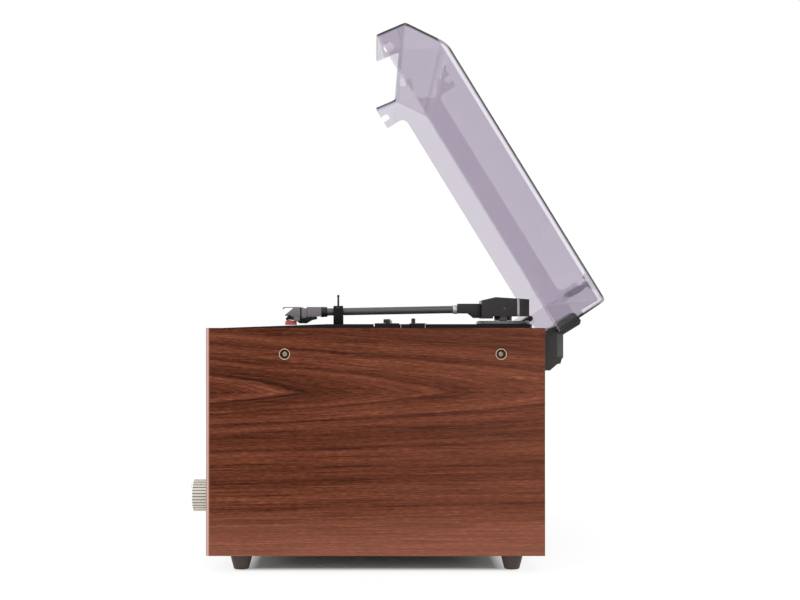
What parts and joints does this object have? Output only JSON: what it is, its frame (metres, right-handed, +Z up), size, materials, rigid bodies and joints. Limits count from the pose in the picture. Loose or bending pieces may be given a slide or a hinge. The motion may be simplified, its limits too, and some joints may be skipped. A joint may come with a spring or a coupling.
{
  "type": "stereo music centre",
  "caption": "Wooden stereo music centre with a record deck under a hinged clear cover, radio dial, disc drawer and knobs.",
  "frame": {"origin": "on the ground under the middle of the whole object, with the cover open", "axes": "+X to the right as seen from the front, +Y to the back, +Z up"},
  "size_m": [0.442, 0.4319, 0.5677],
  "materials": {
    "walnut_veneer": "satin lacquered veneer, horizontal grain",
    "raw_board": "plain fibreboard",
    "black_board": "painted matt black",
    "back_board": "hardboard",
    "foot_rubber": "matt",
    "dark_screw": "blackened",
    "bright_ring": "polished",
    "plated_screw": "zinc plated",
    "black_deck": "moulded, semi gloss",
    "brass_bush": "turned",
    "cast_aluminium": "turned rim",
    "mat_rubber": "ribbed",
    "polished_steel": "polished",
    "belt_rubber": "ground",
    "plated_steel": "zinc plated",
    "black_plastic": "fine moulded grain",
    "arm_metal": "dark anodised",
    "satin_tube": "satin",
    "grey_shell": "silver grey paint",
    "red_stylus": "translucent red",
    "smoked_acrylic": "clear, faint lilac smoke",
    "clear_rubber": "translucent",
    "champagne_fascia": "satin champagne",
    "window_glass": "clear",
    "dial_card": "printed card",
    "red_pointer": "plain",
    "champagne_knob": "satin champagne",
    "dark_button": "plain",
    "champagne_button": "satin champagne",
    "drawer_plastic": "plain",
    "grille_cloth": "woven",
    "speaker_steel": "black",
    "cone_paper": "pressed paper",
    "core_steel": "varnished laminations",
    "circuit_board": "green mask",
    "socket_metal": "nickel plated"
  },
  "bodies": {
    "cabinet": {"side_panel_right": "walnut_veneer", "side_panel_left": "walnut_veneer", "bottom_board": "raw_board", "front_board": "black_board", "back_panel": "back_board", "side_rails": "raw_board", "feet": "foot_rubber", "side_screws": "dark_screw", "cup_washers": "bright_ring", "small_screws": "plated_screw", "deck_plate": "black_deck", "spindle_bearing": "brass_bush", "drive_belt": "belt_rubber", "motor": "plated_steel", "tonearm_base": "black_plastic", "arm_rest": "black_plastic", "hinge_bodies": "black_plastic", "hinge_pins": "polished_steel", "control_fascia": "champagne_fascia", "dial_window": "window_glass", "dial_scale": "dial_card", "tuning_gang": "plated_steel", "volume_control": "plated_steel", "disc_mechanism": "plated_steel", "speaker_grilles": "grille_cloth", "speaker_right": "speaker_steel", "speaker_left": "speaker_steel", "speaker_cones": "cone_paper", "transformer": "core_steel", "main_board": "circuit_board", "rear_sockets": "socket_metal", "mains_inlet": "black_plastic"},
    "lid": {"dust_cover": "smoked_acrylic", "lid_bumpers": "clear_rubber", "hinge_arms": "black_plastic"},
    "turntable": {"platter": "cast_aluminium", "platter_mat": "mat_rubber", "spindle": "polished_steel"},
    "motor_rotor": {"motor_pulley": "brass_bush"},
    "arm_turret": {"arm_pivot": "arm_metal"},
    "arm": {"arm_housing": "black_plastic", "arm_neck": "black_plastic", "arm_tube": "satin_tube", "headshell": "grey_shell", "cartridge": "black_plastic", "stylus": "red_stylus"},
    "clip": {"arm_clip": "black_plastic"},
    "speed_slider": {"speed_switch": "black_plastic"},
    "stop_lever": {"auto_stop_switch": "black_plastic"},
    "tuning_control": {"tuning_knob": "champagne_knob"},
    "volume_dial": {"volume_knob": "champagne_knob"},
    "pointer": {"dial_pointer": "red_pointer"},
    "drawer": {"disc_drawer": "drawer_plastic"},
    "power_key": {"power_button": "dark_button"},
    "radio_key": {"radio_button": "champagne_button"},
    "phono_key": {"phono_button": "champagne_button"},
    "disc_key": {"disc_button": "champagne_button"},
    "play_key": {"play_button": "champagne_button"},
    "stop_key": {"stop_button": "champagne_button"},
    "drawer_key": {"drawer_button": "champagne_button"}
  },
  "joints": [
    {"name": "lid_hinge", "type": "hinge", "parent": "cabinet", "child": "lid", "pos_m": [0, 0.16396, 0.2488], "axis": [-1, 0, 0], "range_deg": [-58.4, 0]},
    {"name": "platter_spin", "type": "hinge", "parent": "cabinet", "child": "turntable", "pos_m": [-0.017, -0.00294, 0.24], "axis": [0, 0, -1], "continuous": true},
    {"name": "motor_spin", "type": "hinge", "parent": "cabinet", "child": "motor_rotor", "pos_m": [-0.10228, 0.07119, 0.24], "axis": [0, 0, -1], "continuous": true},
    {"name": "arm_swing", "type": "hinge", "parent": "cabinet", "child": "arm_turret", "pos_m": [0.16, 0.11776, 0.262], "axis": [0, 0, -1], "range_deg": [0, 42]},
    {"name": "arm_lift", "type": "hinge", "parent": "arm_turret", "child": "arm", "pos_m": [0.16, 0.11776, 0.2738], "axis": [-1, 0, 0], "range_deg": [0, 9]},
    {"name": "clip_turn", "type": "hinge", "parent": "cabinet", "child": "clip", "pos_m": [0.1672, -0.05974, 0.27569], "axis": [0, -1, 0], "range_deg": [0, 90]},
    {"name": "speed_slide", "type": "slide", "parent": "cabinet", "child": "speed_slider", "axis": [0, 1, 0], "range_m": [-0.0075, 0.0075]},
    {"name": "auto_stop_slide", "type": "slide", "parent": "cabinet", "child": "stop_lever", "axis": [0, 1, 0], "range_m": [0, 0.009]},
    {"name": "tuning_turn", "type": "hinge", "parent": "cabinet", "child": "tuning_control", "pos_m": [0.175, -0.19494, 0.0747], "axis": [0, -1, 0], "range_deg": [-135, 135]},
    {"name": "pointer_slide", "type": "slide", "parent": "cabinet", "child": "pointer", "axis": [1, 0, 0], "range_m": [-0.056, 0.056]},
    {"name": "volume_turn", "type": "hinge", "parent": "cabinet", "child": "volume_dial", "pos_m": [-0.175, -0.19494, 0.0747], "axis": [0, -1, 0], "range_deg": [-150, 150]},
    {"name": "drawer_slide", "type": "slide", "parent": "cabinet", "child": "drawer", "axis": [0, -1, 0], "range_m": [0, 0.128]},
    {"name": "power_press", "type": "slide", "parent": "cabinet", "child": "power_key", "axis": [0, 1, 0], "range_m": [0, 0.0025], "stiffness_N_per_m": 300},
    {"name": "radio_press", "type": "slide", "parent": "cabinet", "child": "radio_key", "axis": [0, 1, 0], "range_m": [0, 0.0025], "stiffness_N_per_m": 300},
    {"name": "phono_press", "type": "slide", "parent": "cabinet", "child": "phono_key", "axis": [0, 1, 0], "range_m": [0, 0.0025], "stiffness_N_per_m": 300},
    {"name": "disc_press", "type": "slide", "parent": "cabinet", "child": "disc_key", "axis": [0, 1, 0], "range_m": [0, 0.0025], "stiffness_N_per_m": 300},
    {"name": "play_press", "type": "slide", "parent": "cabinet", "child": "play_key", "axis": [0, 1, 0], "range_m": [0, 0.0025], "stiffness_N_per_m": 300},
    {"name": "stop_press", "type": "slide", "parent": "cabinet", "child": "stop_key", "axis": [0, 1, 0], "range_m": [0, 0.0025], "stiffness_N_per_m": 300},
    {"name": "drawer_press", "type": "slide", "parent": "cabinet", "child": "drawer_key", "axis": [0, 1, 0], "range_m": [0, 0.0025], "stiffness_N_per_m": 300}
  ],
  "couplings": [
    {"joint": "motor_spin", "follows": "platter_spin", "ratio": 11.429},
    {"joint": "pointer_slide", "follows": "tuning_turn", "m_per_rad": 0.023343}
  ]
}
